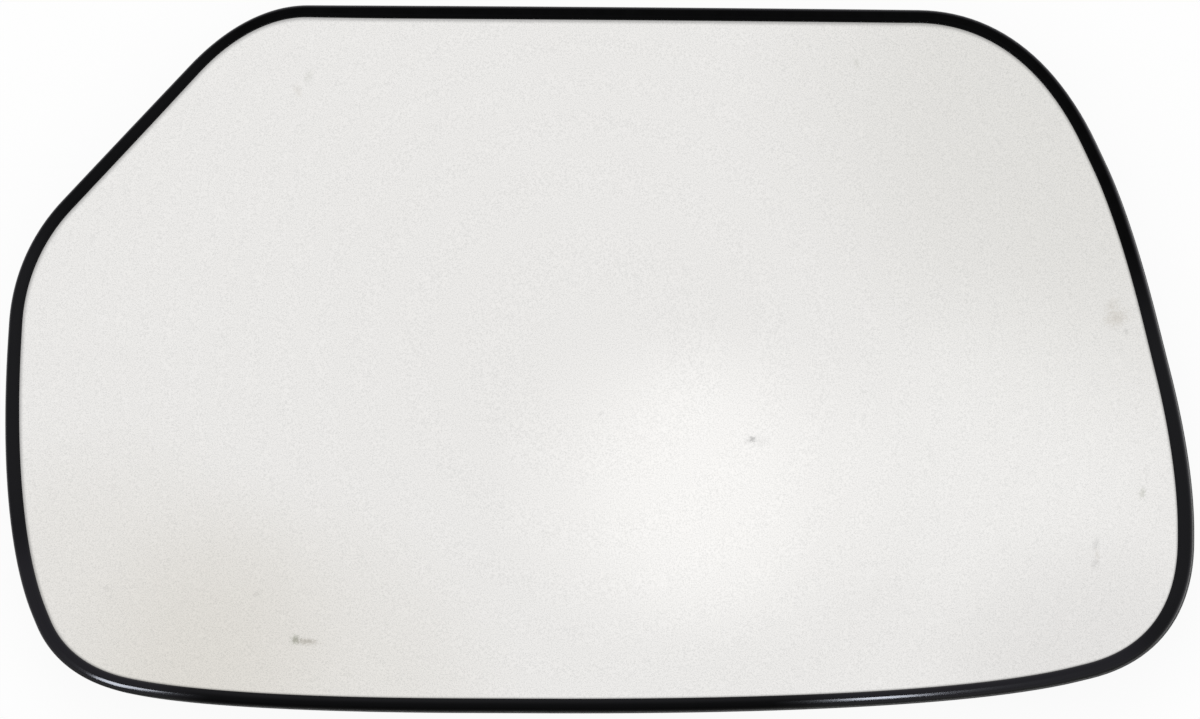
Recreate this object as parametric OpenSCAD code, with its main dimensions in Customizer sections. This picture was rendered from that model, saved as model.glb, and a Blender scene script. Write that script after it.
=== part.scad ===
// Glass of a car's door mirror: a convex mirror bonded into a black backing plate.
// The mirror faces up, and the plate stands on the end of the snap ring on its back.
// X runs along the width, Y along the height and Z out of the mirror's face.

/* [Outline] */
// Overall width across the rim
plate_w = 191.5; // [175:0.5:215]
// Overall height across the rim
plate_h = 114; // [104:0.5:130]
// Width of the slanted cut at the upper left
cut_w = 39; // [25:0.5:50]
// Height of the slanted cut at the upper left
cut_h = 40; // [25:0.5:45]
// How far the shoulder below the cut stays inside the left side
shoulder_in = 1; // [0:0.25:4]
// How far the left side aims outwards on its way down
bow_out = 1.5; // [0:0.25:4]
// Height at which the left side starts to turn in, above the bottom
bow_h = 29.5; // [24:0.5:36]
// Distance of the lower left corner from the left side
heel_w = 9; // [6:0.5:13]
// Height of the lower left corner above the bottom
heel_h = 5; // [2:0.5:8]
// Width over which the bottom rises towards the lower left corner
foot_w = 35.5; // [28:0.5:44]
// Width over which the bottom rises towards the lower right corner
rise_w = 40.5; // [30:0.5:60]
// Height by which the bottom rises towards the lower right corner
rise_h = 10; // [5:0.5:14]
// Height of the top of the upright right side, above the bottom
upright_h = 40; // [36:0.5:48]
// How far the right side has leaned in at its bend
bend_in = 10; // [4:0.5:14]
// Height of the bend of the right side, below the top
bend_down = 34.5; // [28:0.5:40]
// How far the right side has leaned in at the top
lean_w = 25.5; // [16:0.5:35]
// How far the top falls towards its right end
top_fall = 1.5; // [0:0.25:4]
// Rounding where the bottom meets its rise on the left, taken before and after it
foot_round = [14.5, 39]; // [2:0.5:70]
// Rounding where the bottom meets its rise on the right
rise_round = [63.5, 22.5]; // [2:0.5:70]
// Rounding of the lower right corner
low_right_round = [17, 18]; // [2:0.5:70]
// Rounding at the top of the upright right side
upright_round = [10.5, 15]; // [2:0.5:70]
// Rounding at the bend of the right side
bend_round = [16.5, 9.5]; // [2:0.5:70]
// Rounding of the upper right corner
top_right_round = [23, 18.5]; // [2:0.5:70]
// Rounding of the upper left corner, above the cut
top_left_round = [10, 13.5]; // [2:0.5:70]
// Rounding of the shoulder below the cut
shoulder_round = [11.5, 11.5]; // [2:0.5:70]
// Rounding where the left side starts to turn in
bow_round = [31, 15.5]; // [2:0.5:70]
// Rounding of the lower left corner
heel_round = [9.5, 11.5]; // [2:0.5:70]
// Fullness of the rounded corners
fullness = 0.65; // [0.5:0.05:0.75]

/* [Mirror glass] */
// Radius of the mirror's spherical bend
bend_r = 1400; // [900:50:2500]
// Thickness of the glass
glass_t = 2; // [1.8:0.1:3]

/* [Foam pad] */
// Thickness of the foam pad that holds the glass
pad_t = 0.6; // [0.4:0.1:1.2]
// Distance from the glass edge to the pad's edge
pad_in = 4; // [2:0.5:8]

/* [Rim] */
// Height of the rounded rim above the glass
rim_h = 0.9; // [0.6:0.05:1.5]
// How far the rim covers the edge of the glass
lip_w = 0.6; // [0.4:0.05:1.5]
// Thickness of the wall around the glass
wall_t = 1.2; // [1:0.05:2]
// How far the outside of the wall leans out down to its foot
draft_w = 0.3; // [0:0.05:0.6]
// Clearance between the glass edge and the wall
edge_gap = 0.2; // [0.1:0.05:0.5]
// Clearance between the glass and the rim over it
lip_gap = 0.05; // [0.03:0.01:0.1]

/* [Backing plate] */
// Thickness of the plate behind the pad
floor_t = 1.8; // [1.5:0.1:3]
// Depth of the skirt behind the plate
skirt_h = 1.2; // [0.5:0.1:2.5]
// Number of stiffening ribs
rib_n = 8; // [4:4:12]
// Thickness of a rib
rib_t = 2; // [1.2:0.1:3]
// Height of a rib behind the plate
rib_h = 3; // [1.5:0.1:5]
// Distance from the outline to the end of a rib
rib_in = 8; // [4:0.5:15]

/* [Snap ring] */
// Bore of the ring that snaps on the mirror's drive
ring_d = 54; // [40:1:64]
// Wall of the ring
ring_t = 2.5; // [2:0.1:4]
// Height of the ring behind the plate
ring_h = 10; // [9:0.5:15]
// Chamfer at the mouth of the ring
mouth_c = 0.6; // [0.3:0.1:1]
// Number of snap windows in the ring
window_n = 4; // [2:1:4]
// Width of a snap window
window_w = 7; // [4:0.5:9]
// Height of a snap window
window_h = 3; // [2:0.5:4]
// Distance from the mouth of the ring to a window
window_up = 2.5; // [1.5:0.5:4]

/* [Hidden] */
$fn = 128;

// Height of the mirror's face at its middle
face_z = ring_h + floor_t + pad_t + glass_t;
// Heights of the other layers above the face, which bend with it
pad_top = -glass_t;
floor_top = pad_top - pad_t;
floor_back = floor_top - floor_t;
wall_foot = floor_back - skirt_h;

// Insets from the outline
pocket_in = draft_w + wall_t;
glass_in = pocket_in + edge_gap;
lip_in = glass_in + lip_w;
weld_in = draft_w + wall_t / 2;

// How far two joined shapes run into each other
weld = 0.4;
// Steps around one rounded corner, longest step along a side and steps over the rim
corner_steps = 12;
side_step = 12;
rim_steps = 8;

// Corners of the outline inside the box l, r, b, t, anticlockwise, each with its rounding
function corners(l, r, b, t) = [
    [[l + foot_w, b], foot_round],
    [[r - rise_w, b], rise_round],
    [[r, b + rise_h], low_right_round],
    [[r, b + upright_h], upright_round],
    [[r - bend_in, t - bend_down], bend_round],
    [[r - lean_w, t - top_fall], top_right_round],
    [[l + cut_w, t], top_left_round],
    [[l + shoulder_in, t - cut_h], shoulder_round],
    [[l - bow_out, b + bow_h], bow_round],
    [[l + heel_w, b + heel_h], heel_round]
];

function unit(v) = v / norm(v);
function wrap(i, n) = (i + n) % n;

// Share of the rounding that side i, from corner i to the next one, has room for
function room(c, i) =
    let (j = wrap(i + 1, len(c)))
    min(1, 0.98 * norm(c[j][0] - c[i][0]) / (c[i][1][1] + c[j][1][0]));

// Points of a rounded corner and of the side after it, each as [point, direction]
function corner_points(c, i) =
    let (n = len(c), h = wrap(i - 1, n), j = wrap(i + 1, n), v = c[i][0],
         a = unit(v - c[h][0]), b = unit(c[j][0] - v),
         before = c[i][1][0] * room(c, h), after = c[i][1][1] * room(c, i),
         p0 = v - a * before, p1 = v - a * before * (1 - fullness),
         p2 = v + b * after * (1 - fullness), p3 = v + b * after)
    [for (k = [0:corner_steps])
        let (s = k / corner_steps, u = 1 - s)
        [u * u * u * p0 + 3 * u * u * s * p1 + 3 * u * s * s * p2 + s * s * s * p3,
         unit(u * u * (p1 - p0) + 2 * u * s * (p2 - p1) + s * s * (p3 - p2))]];

function side_points(c, i) =
    let (n = len(c), j = wrap(i + 1, n), b = unit(c[j][0] - c[i][0]),
         p = c[i][0] + b * c[i][1][1] * room(c, i),
         q = c[j][0] - b * c[j][1][0] * room(c, i),
         m = ceil(norm(q - p) / side_step))
    [for (k = [1:1:m - 1]) [p + (q - p) * k / m, b]];

function rounded(c) =
    [for (i = [0:len(c) - 1]) each concat(corner_points(c, i), side_points(c, i))];

// The rounding trims the corners, so the box is opened until the outline fills it
function xs(path) = [for (p = path) p[0][0]];
function ys(path) = [for (p = path) p[0][1]];
trimmed = rounded(corners(-plate_w / 2, plate_w / 2, -plate_h / 2, plate_h / 2));
outline = rounded(corners(
    -plate_w - min(xs(trimmed)), plate_w - max(xs(trimmed)),
    -plate_h - min(ys(trimmed)), plate_h - max(ys(trimmed))));

// The outline moved inwards by d
function inset(d) = [for (p = outline) p[0] + d * [-p[1][1], p[1][0]]];

// Height of a point that lies h above the mirror's bend
function bend_z(p, h) = sqrt(pow(bend_r + h, 2) - p * p) - bend_r + face_z;

// Section of the rim, each point as [inset, height above the glass]
rim_section = concat(
    [[0, wall_foot]],
    [for (k = [0:rim_steps])
        let (a = 180 - 180 * k / rim_steps, w = (lip_in - draft_w) / 2)
        [draft_w + w + w * cos(a), lip_gap + (rim_h - lip_gap) * sin(a)]],
    [[pocket_in, lip_gap], [pocket_in, wall_foot]]);

// A closed section carried round the outline and bent with the mirror
module swept(section) {
    m = len(section);
    n = len(outline);
    loops = [for (s = section) inset(s[0])];
    points = [for (i = [0:n - 1]) for (k = [0:m - 1])
        let (p = loops[k][i]) [p[0], p[1], bend_z(p, section[k][1])]];
    faces = [for (i = [0:n - 1]) for (k = [0:m - 1])
        let (i2 = (i + 1) % n, k2 = (k + 1) % m,
             a = i * m + k, b = i * m + k2, c = i2 * m + k2, d = i2 * m + k)
        each [[a, b, c], [a, c, d]]];
    polyhedron(points, faces);
}

// Everything inside the mirror's bend, up to a height above it
module bent_solid(top) {
    translate([0, 0, face_z - bend_r])
        rotate([90, 0, 0])
            sphere(bend_r + top, $fn = 256);
}

// A sheet with the outline moved in by d, between two heights above the bend
module bent_sheet(d, top, bottom) {
    difference() {
        intersection() {
            translate([0, 0, -face_z])
                linear_extrude(3 * face_z)
                    polygon(inset(d));
            bent_solid(top);
        }
        bent_solid(bottom);
    }
}

module mirror_glass() {
    color([0.9, 0.9, 0.89])
        bent_sheet(glass_in, 0, pad_top);
}

module foam_pad() {
    color([0.3, 0.3, 0.3])
        bent_sheet(glass_in + pad_in, pad_top, floor_top);
}

// Ribs that run from the snap ring outwards
module ribs() {
    difference() {
        intersection() {
            bent_sheet(rib_in, floor_back + weld, floor_back - rib_h);
            for (i = [0:rib_n - 1])
                rotate([0, 0, (i + 0.5) * 360 / rib_n])
                    translate([0, -rib_t / 2, 0])
                        cube([plate_w, rib_t, face_z]);
        }
        cylinder(r = ring_d / 2 + ring_t, h = face_z);
    }
}

module backing_plate() {
    color([0.05, 0.05, 0.05])
        union() {
            swept(rim_section);
            bent_sheet(weld_in, floor_top, floor_back);
            ribs();
        }
}

// Moulded on the back of the plate, whose bend its upper end follows
module snap_ring() {
    r = ring_d / 2;
    r2 = r + ring_t;
    color([0.05, 0.05, 0.05])
        difference() {
            rotate_extrude()
                polygon([[r + mouth_c, 0], [r2, 0], [r2, bend_z([r2, 0], floor_back)],
                         [r, bend_z([r, 0], floor_back)], [r, mouth_c]]);
            for (i = [0:window_n - 1])
                rotate([0, 0, i * 360 / window_n])
                    translate([r - ring_t, -window_w / 2, window_up])
                        cube([3 * ring_t, window_w, window_h]);
        }
}

mirror_glass();
foam_pad();
backing_plate();
snap_ring();
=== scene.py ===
"""Visual model of a car door mirror's glass in its backing plate, lying face up.

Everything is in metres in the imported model's frame: X along the width, Y up the mirror's height,
Z out of its face. Lengths in the tables below are in millimetres.
"""
import math

import bpy
from mathutils import Matrix, Vector


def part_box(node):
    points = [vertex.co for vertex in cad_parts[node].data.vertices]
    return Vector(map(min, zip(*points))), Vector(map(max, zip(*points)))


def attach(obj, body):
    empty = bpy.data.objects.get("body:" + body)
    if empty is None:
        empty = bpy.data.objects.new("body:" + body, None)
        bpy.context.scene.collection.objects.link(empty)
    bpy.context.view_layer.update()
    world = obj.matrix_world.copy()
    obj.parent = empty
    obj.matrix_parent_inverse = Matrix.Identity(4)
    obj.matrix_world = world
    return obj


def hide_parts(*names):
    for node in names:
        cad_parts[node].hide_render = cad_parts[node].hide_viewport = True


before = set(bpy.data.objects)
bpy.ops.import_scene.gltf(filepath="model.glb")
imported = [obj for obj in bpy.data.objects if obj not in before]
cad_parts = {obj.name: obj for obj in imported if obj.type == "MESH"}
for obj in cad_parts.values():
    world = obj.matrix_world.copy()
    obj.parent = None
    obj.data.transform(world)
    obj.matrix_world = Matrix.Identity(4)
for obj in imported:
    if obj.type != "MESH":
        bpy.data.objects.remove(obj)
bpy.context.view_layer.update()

MM = 0.001

# ---------------------------------------------------------------- sizes of the real thing, in mm

PLATE_LOW, PLATE_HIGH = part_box("backing_plate")
PLATE_W = (PLATE_HIGH.x - PLATE_LOW.x) / MM
PLATE_H = (PLATE_HIGH.y - PLATE_LOW.y) / MM
BEND_R = 1400.0
GLASS_T, PAD_T, FLOOR_T, SKIRT_H = 2.0, 0.6, 1.8, 1.2
LIP_W, WALL_T, DRAFT_W = 0.6, 1.2, 0.3
EDGE_GAP, LIP_GAP = 0.2, 0.05
RING_R, RING_T, RING_H, MOUTH_C = 27.0, 2.5, 10.0, 0.6
WINDOWS, WINDOW_W, WINDOW_H, WINDOW_UP = 4, 7.0, 3.0, 2.5
RIBS, RIB_T, RIB_H, RIB_IN = 8, 2.0, 3.0, 8.0
NOSE_H, NOSE_IN, NOSE_TOP = 0.6, 0.15, 0.25
BEVEL_IN, BEVEL_W, BEVEL_H, BEVEL_SLOPE = 0.85, 0.45, 0.77, 0.236

FACE_Z = RING_H + FLOOR_T + PAD_T + GLASS_T
FLOOR_TOP = -GLASS_T - PAD_T
FLOOR_BACK = FLOOR_TOP - FLOOR_T
WALL_FOOT = FLOOR_BACK - SKIRT_H
POCKET_IN = DRAFT_W + WALL_T
GLASS_IN = POCKET_IN + EDGE_GAP
LIP_IN = GLASS_IN + LIP_W

FULLNESS = 0.65
CORNER_STEPS = 24
SIDE_STEP = 4.0

# Where the lip is wider or narrower than elsewhere: x, y, reach, extra width
LIP_SWELLS = [(-92.0, -35.0, 32.0, 0.36), (96.0, -28.0, 24.0, 0.28), (-57.0, 52.0, 16.0, -0.26)]
# Stretches of the rim that are rubbed smooth: x, y, reach
SMOOTH_SPOTS = [(-84.0, -46.0, 25.0), (64.0, -54.0, 36.0)]


# ---------------------------------------------------------------- the outline

def corner_table(l, r, b, t):
    """Corners of the outline in a box (left, right, bottom, top): x, y, rounding before and after."""
    return [
        (l + 35.5, b, 14.5, 39.0),
        (r - 40.5, b, 63.5, 22.5),
        (r, b + 10.0, 17.0, 18.0),
        (r, b + 40.0, 10.5, 15.0),
        (r - 10.0, t - 34.5, 16.5, 9.5),
        (r - 25.5, t - 1.5, 23.0, 18.5),
        (l + 39.0, t, 10.0, 13.5),
        (l + 1.0, t - 40.0, 11.5, 11.5),
        (l - 1.5, b + 29.5, 31.0, 15.5),
        (l + 9.0, b + 5.0, 9.5, 11.5),
    ]


def room(corners, i):
    """Share of the rounding that the side after corner i has room for."""
    j = (i + 1) % len(corners)
    length = math.dist(corners[i][:2], corners[j][:2])
    return min(1.0, 0.98 * length / (corners[i][3] + corners[j][2]))


def rounded(corners):
    """Points and outward normals of the rounded outline, anticlockwise."""
    path = []
    n = len(corners)
    for i, (x, y, before, after) in enumerate(corners):
        h, j = (i - 1) % n, (i + 1) % n
        v = Vector((x, y))
        a = (v - Vector(corners[h][:2])).normalized()
        b = (Vector(corners[j][:2]) - v).normalized()
        before, after = before * room(corners, h), after * room(corners, i)
        p = [v - a * before, v - a * before * (1 - FULLNESS), v + b * after * (1 - FULLNESS), v + b * after]
        for k in range(CORNER_STEPS + 1):
            s = k / CORNER_STEPS
            u = 1 - s
            point = u**3 * p[0] + 3 * u * u * s * p[1] + 3 * u * s * s * p[2] + s**3 * p[3]
            along = u * u * (p[1] - p[0]) + 2 * u * s * (p[2] - p[1]) + s * s * (p[3] - p[2])
            path.append((point, along.normalized()))
        end = Vector(corners[j][:2]) - b * corners[j][2] * room(corners, i)
        steps = max(1, math.ceil((end - p[3]).length / SIDE_STEP))
        path += [(p[3].lerp(end, k / steps), b) for k in range(1, steps)]
    return [(point, Vector((t.y, -t.x))) for point, t in path]


def make_outline():
    """The outline whose rounded corners fill the plate's own width and height."""
    w, h = PLATE_W, PLATE_H
    trimmed = [p for p, _ in rounded(corner_table(-w / 2, w / 2, -h / 2, h / 2))]
    xs, ys = [p.x for p in trimmed], [p.y for p in trimmed]
    return rounded(corner_table(-w - min(xs), w - max(xs), -h - min(ys), h - max(ys)))


OUTLINE = make_outline()


def inset(d):
    return [p - n * d for p, n in OUTLINE]


def bent(p, h):
    """The point p at a height h above the mirror's spherical bend, in metres."""
    z = math.sqrt((BEND_R + h) ** 2 - p.x**2 - p.y**2) - BEND_R + FACE_Z
    return Vector((p.x * MM, p.y * MM, z * MM))


# ---------------------------------------------------------------- meshes

def new_object(name, verts, faces, material, smooth_angle=40.0):
    mesh = bpy.data.meshes.new(name)
    mesh.from_pydata(verts, [], faces)
    mesh.validate()
    mesh.update()
    obj = bpy.data.objects.new(name, mesh)
    bpy.context.scene.collection.objects.link(obj)
    mesh.materials.append(material)
    mesh.shade_smooth()
    if smooth_angle < 180:
        mesh.set_sharp_from_angle(angle=math.radians(smooth_angle))
    return obj


def domed_shell(rings):
    """Closed surface through rings of equal length; each end closes in a point at its middle."""
    n = len(rings[0])
    verts = [v for ring in rings for v in ring]
    faces = []
    for r in range(len(rings) - 1):
        for i in range(n):
            j = (i + 1) % n
            faces.append((r * n + i, r * n + j, (r + 1) * n + j, (r + 1) * n + i))
    for r, flip in ((0, True), (len(rings) - 1, False)):
        middle = len(verts)
        verts.append(sum(rings[r], Vector()) / n)
        for i in range(n):
            j = (i + 1) % n
            faces.append((r * n + j, r * n + i, middle) if flip else (r * n + i, r * n + j, middle))
    return verts, faces


def sheet_rings(d, h, shares):
    """Rings of a bent sheet at the height h, from its edge at the inset d towards its middle."""
    loop = inset(d)
    return [[bent(p * s, h) for p in loop] for s in shares]


def section_rings(section):
    return [[bent(p, h) for p in inset(d)] for d, h in section]


def curve(start, start_pull, end_pull, end, steps):
    """Points of a cubic curve in the section plane, as (inset, height), without its first point."""
    points = []
    for k in range(1, steps + 1):
        t = k / steps
        weights = ((1 - t) ** 3, 3 * t * (1 - t) ** 2, 3 * t * t * (1 - t), t**3)
        pulls = list(zip(weights, (start, start_pull, end_pull, end)))
        points.append(tuple(sum(w * q[i] for w, q in pulls) for i in (0, 1)))
    return points


def smoothstep(x):
    """Soft step from 0 at x = 0 to 1 at x = 1."""
    x = min(1.0, max(0.0, x))
    return x * x * (3 - 2 * x)


def lip_swell(p):
    """Extra width of the lip at the point p of the outline."""
    swell = 0.0
    for x, y, reach, extra in LIP_SWELLS:
        swell += extra * math.exp(-((p.x - x) ** 2 + (p.y - y) ** 2) / reach**2)
    return swell


def rubbed(p):
    """How smooth the rim's top is rubbed at the point p of the outline, from 0 to 1."""
    return max(smoothstep(2.2 * (1 - math.dist(p, (x, y)) / reach)) for x, y, reach in SMOOTH_SPOTS)


def edge_gloss(n, d):
    """Gloss of the rim's outer edge where it faces n, at the inset d: none along the bottom."""
    return 0.7 * smoothstep((0.75 - d) / 0.35) * smoothstep((n.y + 0.95) / 0.6)


def pale(p, n, d):
    """Painted sheen: how much paler the rim is painted at the point p of the outline and the inset d, from
    0 to 1.
    """
    # painted sheen where it faces sideways, less towards the top, and on the right only in the lower half
    side = smoothstep((abs(n.x) - 0.45) / 0.5) * (1 - 0.4 * smoothstep((n.y - 0.3) / 0.4))
    if n.x > 0:
        side *= smoothstep((20 - p.y) / 20)
    # painted sheen on the slope down to the glass, where it faces down
    slope = smoothstep((d - 1.1) / 0.9) * smoothstep(-n.y)
    return max(side, 0.9 * slope)


def lip_ring(d, h, share, least=0.0):
    """Ring at the inset d and height h that takes a share of the lip's swell."""
    return [bent(p - n * max(least, d + share * lip_swell(p)), h) for p, n in OUTLINE]


def set_values(mesh, name, values):
    mesh.attributes.new(name, "FLOAT", "POINT").data.foreach_set("value", values)


def arc(cd, ch, rd, rh, start, end, steps):
    """Points of an elliptic arc in the section plane, as (inset, height)."""
    angles = [math.radians(start + (end - start) * k / steps) for k in range(steps + 1)]
    return [(cd + rd * math.cos(a), ch + rh * math.sin(a)) for a in angles]


def even(start, end, steps):
    return [start + (end - start) * k / steps for k in range(steps + 1)]


def make_plate(outside, inside):
    """Rim, wall, skirt and floor of the backing plate as one closed surface."""
    foot_r, root_r = 0.3, 0.5
    innermost, steps = 0.04, 24     # the floor's rings, as shares of its edge
    back = sheet_rings(POCKET_IN + root_r, FLOOR_BACK, even(innermost, 1.0, steps))
    root = arc(POCKET_IN + root_r, FLOOR_BACK - root_r, root_r, root_r, 90, 180, 5)[1:]
    foot = arc(POCKET_IN - foot_r, WALL_FOOT + foot_r, foot_r, foot_r, 0, -90, 5)
    wall = arc(foot_r, WALL_FOOT + foot_r, foot_r, foot_r, -90, -180, 5)
    wall += list(zip(even(0.0, NOSE_IN, 6), even(WALL_FOOT + foot_r, -NOSE_H, 6)))[1:]
    outer = (BEVEL_IN, BEVEL_H)
    inner = (BEVEL_IN + BEVEL_W, BEVEL_H + BEVEL_W * BEVEL_SLOPE)
    # how far the curves beside the flat keep its slope, and how high the lip stays steep
    before, after, steep_h = 0.35, 0.45, 0.65
    outer_pull = (outer[0] - before, outer[1] - before * BEVEL_SLOPE)
    inner_pull = (inner[0] + after, inner[1] + after * BEVEL_SLOPE)
    nose = curve((NOSE_IN, -NOSE_H), (NOSE_IN, NOSE_TOP), outer_pull, outer, 16)
    nose += [inner]
    nose += curve(inner, inner_pull, (LIP_IN, steep_h), (LIP_IN, LIP_GAP), 18)
    bead = [lip_ring(d, h, max(0.0, (d - inner[0]) / (LIP_IN - inner[0]))) for d, h in nose]
    pocket = [(LIP_IN - 0.4, LIP_GAP), (POCKET_IN, LIP_GAP)]
    pocket += [(POCKET_IN, FLOOR_TOP / 2), (POCKET_IN, FLOOR_TOP)]
    front = sheet_rings(POCKET_IN, FLOOR_TOP, even(1.0, innermost, steps)[1:])
    hidden = back + section_rings(root + foot)
    shown = section_rings(wall) + bead
    rings = hidden + shown + section_rings(pocket) + front
    verts, faces = domed_shell(rings)
    plate = new_object("plate", verts, faces, outside)
    plate.data.materials.append(inside)

    # the rim and the wall have the outside's material, all that lies behind them has the inside's
    count = len(OUTLINE)
    is_inside = [not len(hidden) <= r < len(hidden + shown) for r in range(len(rings) - 1)]
    indices = [int(v) for v in is_inside for _ in OUTLINE] + [1] * (2 * count)
    plate.data.polygons.foreach_set("material_index", indices)

    smooth = [0.0] * (len(rings) * count + 2)
    sheen_values = smooth[:]
    for r, (d, _) in enumerate(nose, len(hidden + shown) - len(bead)):
        top = smoothstep((d - 0.25) / 0.4)
        here = slice(r * count, (r + 1) * count)
        smooth[here] = [max(top * rubbed(p), edge_gloss(n, d)) for p, n in OUTLINE]
        # painted sheen on the rim, none where it is rubbed
        sheen_values[here] = [pale(p, n, d) * (1 - rubbed(p)) for p, n in OUTLINE]
    set_values(plate.data, "rubbed", smooth)
    set_values(plate.data, "pale", sheen_values)
    return plate


def make_glass(material):
    """The mirror: a bent sheet with ground edges."""
    edge_r = 0.4
    flat_end = GLASS_IN + edge_r + 0.02
    # distances from the lip, closest together where its shade falls
    margin = (2.2, 1.6, 1.2, 1.0, 0.8, 0.6, 0.45, 0.3, 0.15, 0.0)
    middle = sheet_rings(LIP_IN + 3.0, 0.0, even(0.02, 1.0, 60))
    near_lip = [lip_ring(LIP_IN + d, 0.0, 1.0, flat_end) for d in margin]
    edge = [(GLASS_IN + edge_r, 0.0)] + arc(GLASS_IN + edge_r, -edge_r, edge_r, edge_r, 90, 180, 5)[1:]
    edge += arc(GLASS_IN + edge_r, -GLASS_T + edge_r, edge_r, edge_r, 180, 270, 5)
    back = sheet_rings(GLASS_IN + edge_r, -GLASS_T, even(1.0, 0.05, 20)[1:])
    rings = middle + near_lip + section_rings(edge) + back
    verts, faces = domed_shell(rings[::-1])
    glass = new_object("glass", verts, faces, material, 50.0)

    # painted shade: the mirror's colour is darkened beside the lip, standing for the lip's dark reflection
    # and shade there, most where the rim stands towards the upper left
    widths = [0.55 + 0.30 * n.dot(Vector((-0.6, 0.8))) for _, n in OUTLINE]
    count = len(OUTLINE)
    shade = [0.0] * (len(middle) * count)
    shade += [smoothstep(1 - d / w) for d in margin for w in widths]
    shade += [1.0] * ((len(rings) - len(middle + near_lip)) * count)
    by_ring = [shade[r * count:(r + 1) * count] for r in range(len(rings))]
    set_values(glass.data, "painted_lip_shade", [v for ring in by_ring[::-1] for v in ring] + [1.0, 0.0])
    return glass


def make_ring(material):
    """The snap ring: a turned ring with rounded edges and windows through its wall."""
    r, r2, e = RING_R, RING_R + RING_T, 0.3
    z1, z2 = WINDOW_UP, WINDOW_UP + WINDOW_H
    top_in = bent(Vector((r, 0)), FLOOR_BACK).z / MM
    top_out = bent(Vector((r2, 0)), FLOOR_BACK).z / MM
    quarter = [math.radians(-90 + 15 * k) for k in range(7)]
    outer = [(r2 - e + e * math.cos(a), e + e * math.sin(a)) for a in quarter]
    outer += [(r2, z1), (r2, z2), (r2, top_out)]
    inner = [(r, top_in), (r, z2), (r, z1), (r, MOUTH_C), (r + MOUTH_C, 0.0)]
    profile = outer + inner
    w = math.degrees(math.asin(WINDOW_W / 2 / r))
    step = 360.0 / WINDOWS
    open_steps, wall_steps = 6, 28
    angles = []
    for i in range(WINDOWS):
        angles += even(i * step - w, i * step + w, open_steps)[:-1]
        angles += even(i * step + w, (i + 1) * step - w, wall_steps)[:-1]
    n, m = len(angles), len(profile)
    verts = []
    for a in angles:
        c, s = math.cos(math.radians(a)), math.sin(math.radians(a))
        verts += [Vector((q * c * MM, q * s * MM, z * MM)) for q, z in profile]
    out_lo = profile.index((r2, z1))
    in_lo = profile.index((r, z2))
    per = n // WINDOWS
    faces = []
    for i in range(n):
        j = (i + 1) % n
        open_here = i % per < open_steps
        for k in range(m):
            if open_here and k in (out_lo, in_lo):
                continue
            k2 = (k + 1) % m
            faces.append((i * m + k, j * m + k, j * m + k2, i * m + k2))
        if open_here:
            # sill and head of the window
            faces.append((i * m + out_lo, i * m + in_lo + 1, j * m + in_lo + 1, j * m + out_lo))
            faces.append((i * m + out_lo + 1, j * m + out_lo + 1, j * m + in_lo, i * m + in_lo))
    for i in range(WINDOWS):
        for a, flip in ((i * per, False), ((i * per + open_steps) % n, True)):
            jamb = (a * m + out_lo, a * m + out_lo + 1, a * m + in_lo, a * m + in_lo + 1)
            faces.append(jamb[::-1] if flip else jamb)
    return new_object("ring", verts, faces, material)


def reach(angle, loop):
    """Distance from the middle to a closed loop of points, at an angle."""
    c, s = math.cos(angle), math.sin(angle)
    best = 0.0
    for a, b in zip(loop, loop[1:] + loop[:1]):
        e = b - a
        det = c * e.y - s * e.x
        if abs(det) < 1e-9:
            continue
        t = (a.x * e.y - a.y * e.x) / det
        u = (a.x * s - a.y * c) / det
        if t > 0 and -1e-9 <= u <= 1 + 1e-9:
            best = max(best, t)
    return best


def make_ribs(material):
    """Radial ribs on the plate's back, with rounded edges and a filleted root."""
    e, root, end_r, sunk, taper = 0.35, 0.5, 1.5, 0.1, 0.6
    half = RIB_T / 2
    turn = [math.radians(18 * k) for k in range(6)]
    end_turn = [math.radians(15 * k) for k in range(1, 6)]
    side = [(half + root, sunk)]
    side += [(half + root - root * math.sin(a), -root + root * math.cos(a)) for a in turn]
    side += [(half - e + e * math.cos(a), -RIB_H + e - e * math.sin(a)) for a in turn]
    section = side + [(-x, h) for x, h in reversed(side)]
    loop = inset(RIB_IN)
    verts, faces = [], []
    for i in range(RIBS):
        angle = math.radians((i + 0.5) * 360.0 / RIBS)
        along = Vector((math.cos(angle), math.sin(angle)))
        across = Vector((-along.y, along.x))
        start, end = RING_R + RING_T - sunk, reach(angle, loop)
        stations = [(s, 1.0) for s in even(start, end - end_r, 12)]
        stations += [(end - end_r + end_r * math.sin(a), math.cos(a)) for a in end_turn]
        first = len(verts)
        m = len(section)
        for s, share in stations:
            keep = 1 - (1 - share) * taper
            for x, h in section:
                verts.append(bent(along * s + across * x * keep, FLOOR_BACK + (h * share if h < 0 else h)))
        for q in range(len(stations) - 1):
            for k in range(m):
                k2 = (k + 1) % m
                a, b = first + q * m, first + (q + 1) * m
                faces.append((a + k, b + k, b + k2, a + k2))
        last = first + (len(stations) - 1) * m
        faces.append(tuple(first + k for k in range(m)))
        faces.append(tuple(last + k for k in reversed(range(m))))
    return new_object("ribs", verts, faces, material)


# ---------------------------------------------------------------- materials

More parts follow.
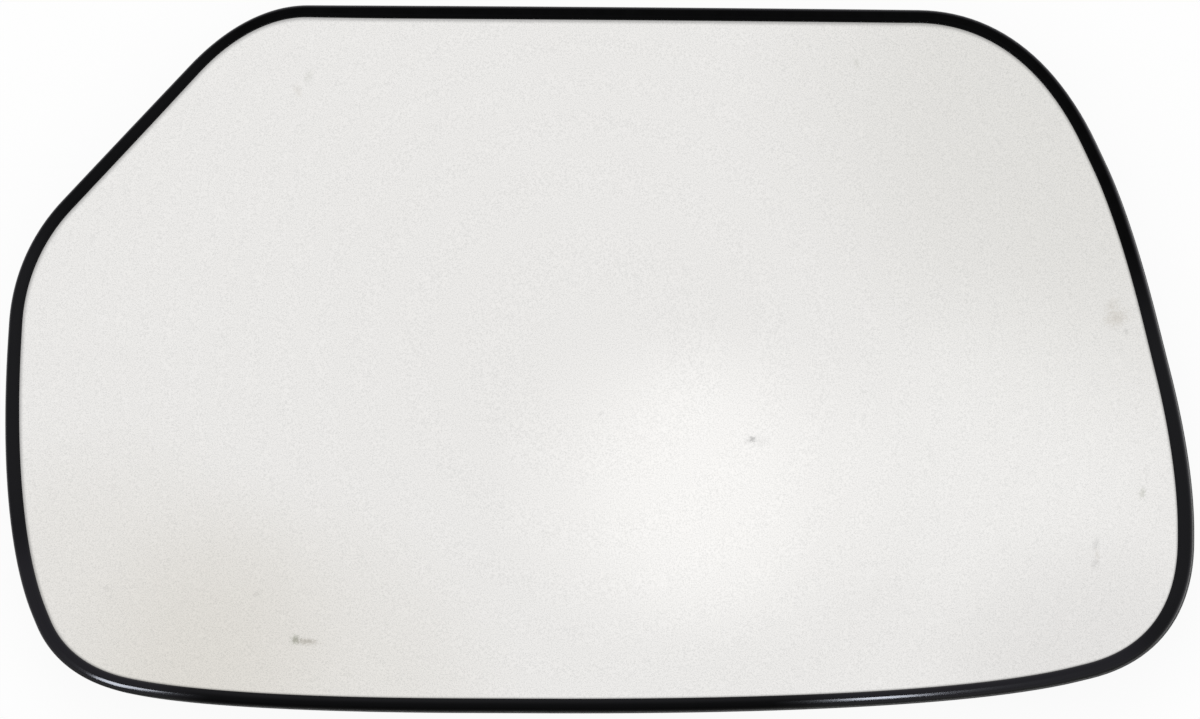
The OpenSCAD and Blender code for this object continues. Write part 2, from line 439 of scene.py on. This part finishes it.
class Nodes:
    """Short calls for building a material's nodes."""

    def __init__(self, name):
        self.material = bpy.data.materials.new(name)
        self.material.use_nodes = True
        self.tree = self.material.node_tree
        self.shader = next(n for n in self.tree.nodes if n.type == "BSDF_PRINCIPLED")
        coords = self.tree.nodes.new("ShaderNodeTexCoord")
        self.position = coords.outputs["Object"]

    def link(self, value, socket):
        if isinstance(value, bpy.types.NodeSocket):
            self.tree.links.new(value, socket)
        else:
            socket.default_value = value

    def math(self, operation, *values):
        node = self.tree.nodes.new("ShaderNodeMath")
        node.operation = operation
        for value, socket in zip(values, node.inputs):
            self.link(value, socket)
        return node.outputs[0]

    def noise(self, scale, detail, roughness):
        node = self.tree.nodes.new("ShaderNodeTexNoise")
        node.inputs["Scale"].default_value = scale
        node.inputs["Detail"].default_value = detail
        node.inputs["Roughness"].default_value = roughness
        self.tree.links.new(self.position, node.inputs["Vector"])
        return node.outputs[0]

    def remap(self, value, low, high, to_low, to_high, smooth=False):
        node = self.tree.nodes.new("ShaderNodeMapRange")
        node.interpolation_type = "SMOOTHSTEP" if smooth else "LINEAR"
        for v, socket in zip((value, low, high, to_low, to_high), node.inputs):
            self.link(v, socket)
        return node.outputs[0]

    def mix(self, share, a, b):
        node = self.tree.nodes.new("ShaderNodeMix")
        node.data_type = "RGBA"
        self.link(share, node.inputs[0])
        self.link(a, node.inputs[6])
        self.link(b, node.inputs[7])
        return node.outputs[2]

    def bump(self, height, strength, distance):
        node = self.tree.nodes.new("ShaderNodeBump")
        node.inputs["Strength"].default_value = strength
        node.inputs["Distance"].default_value = distance
        self.tree.links.new(height, node.inputs["Height"])
        self.tree.links.new(node.outputs[0], self.shader.inputs["Normal"])

    def mapped(self, location, rotation, scale):
        node = self.tree.nodes.new("ShaderNodeMapping")
        node.vector_type = "TEXTURE"
        node.inputs["Location"].default_value = location
        node.inputs["Rotation"].default_value = rotation
        node.inputs["Scale"].default_value = scale
        self.tree.links.new(self.position, node.inputs["Vector"])
        return node.outputs[0]

    def attribute(self, name):
        node = self.tree.nodes.new("ShaderNodeAttribute")
        node.attribute_name = name
        return node.outputs["Fac"]

    def length(self, vector):
        node = self.tree.nodes.new("ShaderNodeVectorMath")
        node.operation = "LENGTH"
        self.tree.links.new(vector, node.inputs[0])
        return node.outputs["Value"]


# colour of the painted sheen on the rim
PAINTED_SHEEN_PLASTIC = (0.0100, 0.0100, 0.0112, 1)
# violet tint painted as the sheen of the rubbed and glossy rim
RUBBED_SHEEN_TINT = (0.0016, 0.0012, 0.0042, 1)


def plastic_material(name, dark, light, rough, specular):
    """Black moulded plastic with a fine mould grain and a painted sheen; where it is rubbed it is smooth,
    has a gloss and a painted violet sheen tint.
    """
    n = Nodes(name)
    fine = n.noise(5200.0, 2.0, 0.55)
    coarse = n.noise(420.0, 3.0, 0.6)
    smooth = n.attribute("rubbed")
    tone = n.remap(coarse, 0.3, 0.7, 0.0, 1.0)
    colour = n.mix(tone, (*dark, 1), (*light, 1))
    # painted sheen: paler where the rim faces the light
    colour = n.mix(n.attribute("pale"), colour, PAINTED_SHEEN_PLASTIC)
    # painted sheen: a violet tint where the rim is rubbed and where its edge has a gloss
    n.link(n.mix(smooth, colour, RUBBED_SHEEN_TINT), n.shader.inputs["Base Color"])
    dull = n.math("MULTIPLY_ADD", tone, 0.10, rough)
    n.link(n.math("MULTIPLY_ADD", smooth, -0.25, dull), n.shader.inputs["Roughness"])
    n.shader.inputs["Specular IOR Level"].default_value = specular
    n.link(n.math("MULTIPLY", smooth, 0.4), n.shader.inputs["Coat Weight"])
    n.shader.inputs["Coat Roughness"].default_value = 0.1
    n.bump(n.math("MULTIPLY", fine, n.math("SUBTRACT", 1.0, smooth)), 0.15, 0.00004)
    return n.material


# Dried specks on the mirror, and one speck's painted shadow: x, y, half-length, half-width (mm), turn
# (degrees), strength, colour
BROWN, GREEN, GREY = (0.46, 0.39, 0.30), (0.34, 0.36, 0.27), (0.30, 0.30, 0.30)
MARKS = [
    (-46.4, 45.3, 1.20, 0.75, 60.0, 0.15, GREEN),
    (-48.1, 43.0, 1.30, 0.70, 110.0, 0.14, BROWN),
    (41.9, 47.1, 0.95, 0.55, 105.0, 0.17, GREEN),
    (83.4, 6.3, 2.10, 1.60, 20.0, 0.26, BROWN),
    (82.8, 8.4, 1.50, 1.00, 40.0, 0.16, BROWN),
    (85.0, 4.1, 0.65, 0.40, 110.0, 0.24, GREY),
    (25.6, -13.2, 0.62, 0.56, 0.0, 0.50, GREY),
    (25.0, -13.4, 1.05, 0.45, 25.0, 0.20, GREY),
    # painted shadow of the speck at 25.6, -13.2, to its right
    (26.8, -13.6, 1.60, 0.90, 0.0, 0.10, GREY),
    (87.6, -21.6, 1.05, 0.62, 75.0, 0.30, GREEN),
    (80.2, -29.8, 1.10, 0.60, 80.0, 0.20, GREY),
    (80.4, -31.5, 1.10, 0.40, 95.0, 0.18, BROWN),
    (80.0, -32.9, 0.90, 0.60, 70.0, 0.20, GREY),
    (-47.8, -45.4, 0.92, 0.88, 0.0, 0.50, (0.22, 0.25, 0.17)),
    (-46.1, -45.7, 1.90, 0.66, -6.0, 0.42, (0.26, 0.23, 0.17)),
    (-78.4, -37.4, 0.70, 0.60, 0.0, 0.08, GREY),
    (-54.3, -38.2, 0.60, 0.45, 0.0, 0.15, GREY),
    (1.3, -9.2, 0.70, 0.35, 40.0, 0.15, GREY),
]


def mirror_material():
    """Silvered glass: a clean reflection, with painted shade along the lip, dried specks, one speck's
    painted shadow and fine dust.
    """
    n = Nodes("mirror")
    haze = n.noise(55.0, 3.0, 0.6)
    dust = n.noise(5000.0, 1.0, 0.6)
    colour = n.mix(n.remap(haze, 0.3, 0.7, 0.0, 1.0), (0.968, 0.954, 0.936, 1), (0.976, 0.963, 0.946, 1))
    colour = n.mix(n.remap(dust, 0.4, 0.75, 0.0, 0.58), colour, (0.66, 0.66, 0.65, 1))
    rough = n.remap(haze, 0.35, 0.7, 0.02, 0.035)
    ragged = n.math("MULTIPLY_ADD", n.noise(2600.0, 3.0, 0.8), 2.6, -1.3)
    # amid the heights that the bent face has, and deep enough for all of them
    level, depth = (FACE_Z - 2.0) * MM, 10 * MM
    for x, y, a, b, turn, strength, tint in MARKS:
        local = n.mapped((x * MM, y * MM, level), (0, 0, math.radians(turn)), (a * MM, b * MM, depth))
        mask = n.remap(n.math("ADD", n.length(local), ragged), 0.1, 1.3, strength, 0.0, smooth=True)
        colour = n.mix(mask, colour, (*tint, 1))
    # painted shade: darker beside the lip
    colour = n.mix(n.math("MULTIPLY", n.attribute("painted_lip_shade"), 0.55), colour, (0.10, 0.10, 0.10, 1))
    n.link(colour, n.shader.inputs["Base Color"])
    n.link(rough, n.shader.inputs["Roughness"])
    n.shader.inputs["Metallic"].default_value = 1.0
    return n.material


def foam_material():
    """Closed-cell foam tape."""
    n = Nodes("foam")
    cells = n.noise(2400.0, 4.0, 0.7)
    n.link(n.mix(cells, (0.02, 0.02, 0.021, 1), (0.06, 0.06, 0.062, 1)), n.shader.inputs["Base Color"])
    n.shader.inputs["Roughness"].default_value = 0.85
    n.bump(cells, 0.4, 0.00015)
    return n.material


# ---------------------------------------------------------------- the part

outside = plastic_material("black plastic", (0.0009, 0.0009, 0.0010), (0.0018, 0.0018, 0.0020), 0.46, 0.022)
inside = plastic_material("black plastic inside", (0.009, 0.009, 0.0095), (0.014, 0.014, 0.0145), 0.42, 0.3)
mirror, foam = mirror_material(), foam_material()

glass = make_glass(mirror)
plate = make_plate(outside, inside)
ribs = make_ribs(inside)
ring = make_ring(inside)
for piece, node, slot in ((glass, "mirror_glass", "mirror"), (plate, "backing_plate", "plastic"),
                          (ribs, "backing_plate", "plastic"), (ring, "snap_ring", "plastic")):
    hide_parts(node)
    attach(piece, "root")

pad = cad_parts["foam_pad"]
pad.data.materials.clear()
pad.data.materials.append(foam)


# ---------------------------------------------------------------- camera, floor and light

CAMERA_DISTANCE = 1.2
CAMERA_LEAN = (5.08, -3.3)     # degrees off the mirror's axis, towards +X and +Y
FRAME_WIDTH = 0.1919           # width seen at that distance, in metres


def make_camera():
    lean_x, lean_y = (math.tan(math.radians(a)) for a in CAMERA_LEAN)
    back = Vector((lean_x, lean_y, 1)).normalized()
    right = (Vector((1, 0, 0)) - back * back.x).normalized()
    up = back.cross(right)
    data = bpy.data.cameras.new("camera")
    data.sensor_width = 36.0
    data.lens = data.sensor_width * CAMERA_DISTANCE / FRAME_WIDTH
    data.shift_x, data.shift_y = 0.0056, -0.0026
    data.clip_start, data.clip_end = 0.05, 20.0
    camera = bpy.data.objects.new("camera", data)
    bpy.context.scene.collection.objects.link(camera)
    at = Vector((0, 0, FACE_Z * MM)) + back * CAMERA_DISTANCE
    camera.matrix_world = Matrix.Translation(at) @ Matrix((right, up, back)).transposed().to_4x4()
    bpy.context.scene.camera = camera


def seen_share(tree):
    """1 for rays that show the background: from the camera, in a reflection or through glass."""
    path = tree.nodes.new("ShaderNodeLightPath")
    share = path.outputs["Is Camera Ray"]
    for kind in ("Is Glossy Ray", "Is Transmission Ray"):
        node = tree.nodes.new("ShaderNodeMath")
        node.operation = "MAXIMUM"
        tree.links.new(share, node.inputs[0])
        tree.links.new(path.outputs[kind], node.inputs[1])
        share = node.outputs[0]
    return share


def make_floor():
    """A pale floor that the camera sees as white, with a soft shadow, just clear of the part."""
    size, down = 4.0, -0.0001
    white_share = 0.92     # the rest shows the part's shadow
    corners = [(-size, -size, down), (size, -size, down), (size, size, down), (-size, size, down)]
    n = Nodes("floor")
    n.shader.inputs["Base Color"].default_value = (0.85, 0.85, 0.85, 1)
    n.shader.inputs["Roughness"].default_value = 0.9
    n.shader.inputs["Specular IOR Level"].default_value = 0.0
    glow = n.tree.nodes.new("ShaderNodeEmission")
    glow.inputs["Strength"].default_value = 1.0
    mixed = n.tree.nodes.new("ShaderNodeMixShader")
    n.link(n.math("MULTIPLY", seen_share(n.tree), white_share), mixed.inputs[0])
    n.tree.links.new(n.shader.outputs[0], mixed.inputs[1])
    n.tree.links.new(glow.outputs[0], mixed.inputs[2])
    out = next(x for x in n.tree.nodes if x.type == "OUTPUT_MATERIAL")
    n.tree.links.new(mixed.outputs[0], out.inputs["Surface"])
    floor = new_object("floor", [Vector(c) for c in corners], [(0, 1, 2, 3)], n.material, 180)


def make_area(name, at, size, power, target=(0, 0, 0.01), colour=(1, 1, 1)):
    data = bpy.data.lights.new(name, "AREA")
    data.shape = "RECTANGLE"
    data.size, data.size_y = size
    data.energy = power
    data.color = colour
    obj = bpy.data.objects.new(name, data)
    bpy.context.scene.collection.objects.link(obj)
    obj.location = at
    obj.rotation_mode = "QUATERNION"
    obj.rotation_quaternion = (Vector(target) - Vector(at)).to_track_quat("-Z", "Y")
    return obj


# Soft patches of the ceiling: direction, radius (degrees), change of colour
SKY_PATCHES = [
    ((-0.036, 0.009, 1), 3.8, (0.060, 0.060, 0.060)),
    ((-0.064, 0.009, 1), 3.8, (0.060, 0.060, 0.060)),
    ((-0.275, -0.060, 1), 5.8, (-0.058, -0.066, -0.084)),
    ((-0.205, -0.080, 1), 5.6, (-0.058, -0.066, -0.084)),
    ((0.106, 0.166, 1), 8.5, (-0.083, -0.083, -0.095)),
    ((0.058, 0.020, 1), 4.2, (0.032, 0.034, 0.034)),
    ((0.088, -0.056, 1), 3.4, (-0.056, -0.058, -0.058)),
]


def make_world():
    """A white background with a pale ceiling that has a few soft patches, over plain soft light."""
    world = bpy.data.worlds.new("studio")
    bpy.context.scene.world = world
    world.use_nodes = True
    tree = world.node_tree
    tree.nodes.clear()
    link = tree.links.new
    coords = tree.nodes.new("ShaderNodeTexCoord")

    def facing(direction):
        node = tree.nodes.new("ShaderNodeVectorMath")
        node.operation = "DOT_PRODUCT"
        node.inputs[1].default_value = Vector(direction).normalized()
        link(coords.outputs["Generated"], node.inputs[0])
        return node.outputs["Value"]

    def remap(value, low, high, to_low, to_high):
        node = tree.nodes.new("ShaderNodeMapRange")
        node.interpolation_type = "SMOOTHSTEP"
        for v, socket in zip((low, high, to_low, to_high), list(node.inputs)[1:5]):
            socket.default_value = v
        link(value, node.inputs[0])
        return node.outputs[0]

    def scaled(colour, factor):
        node = tree.nodes.new("ShaderNodeVectorMath")
        node.operation = "SCALE"
        node.inputs[0].default_value = colour
        link(factor, node.inputs["Scale"])
        return node.outputs[0]

    def total(a, b):
        node = tree.nodes.new("ShaderNodeVectorMath")
        link(a, node.inputs[0])
        link(b, node.inputs[1])
        return node.outputs[0]

    def patch(direction, radius, colour):
        """A soft round patch of sky, brighter or darker than the rest."""
        inside = remap(facing(direction), math.cos(math.radians(radius)), 1.0, 0.0, 1.0)
        return scaled(colour, inside)

    white = (1.0, 1.0, 1.0)
    light = remap(facing((0, 0.6, 1)), -0.45, 0.35, 0.12, 0.873)
    sky = scaled(white, remap(facing((0, 0, 1)), 0.12, 0.5, 1.0, 0.890))
    for direction, radius, colour in SKY_PATCHES:
        sky = total(sky, patch(direction, radius, colour))
    seen = tree.nodes.new("ShaderNodeMix")
    seen.data_type = "RGBA"
    link(seen_share(tree), seen.inputs[0])
    link(scaled(white, light), seen.inputs[6])
    link(sky, seen.inputs[7])
    background = tree.nodes.new("ShaderNodeBackground")
    link(seen.outputs[2], background.inputs["Color"])
    out = tree.nodes.new("ShaderNodeOutputWorld")
    link(background.outputs[0], out.inputs["Surface"])


make_camera()
make_floor()
make_world()

# soft lamps that the mirror doesn't show
for name, at, size, power in (("key", (0.0, 0.95, 1.1), (0.9, 0.6), 5.0),
                              ("left", (-1.1, 0.2, 0.6), (0.5, 0.7), 1.2),
                              ("right", (1.1, 0.2, 0.6), (0.5, 0.7), 1.2)):
    make_area(name, at, size, power).visible_glossy = False

# two narrow lamps that only gloss shows, for the highlights on the lower rim
for name, at, size, power in (("spark left", (-0.489, -0.565, 0.957), (0.14, 0.16), 3.0),
                              ("spark right", (0.087, -0.571, 0.984), (0.043, 0.13), 1.1)):
    spark = make_area(name, at, size, power, colour=(0.84, 0.89, 1.0))
    spark.visible_diffuse = False

scene = bpy.context.scene
scene.view_settings.view_transform = "Standard"
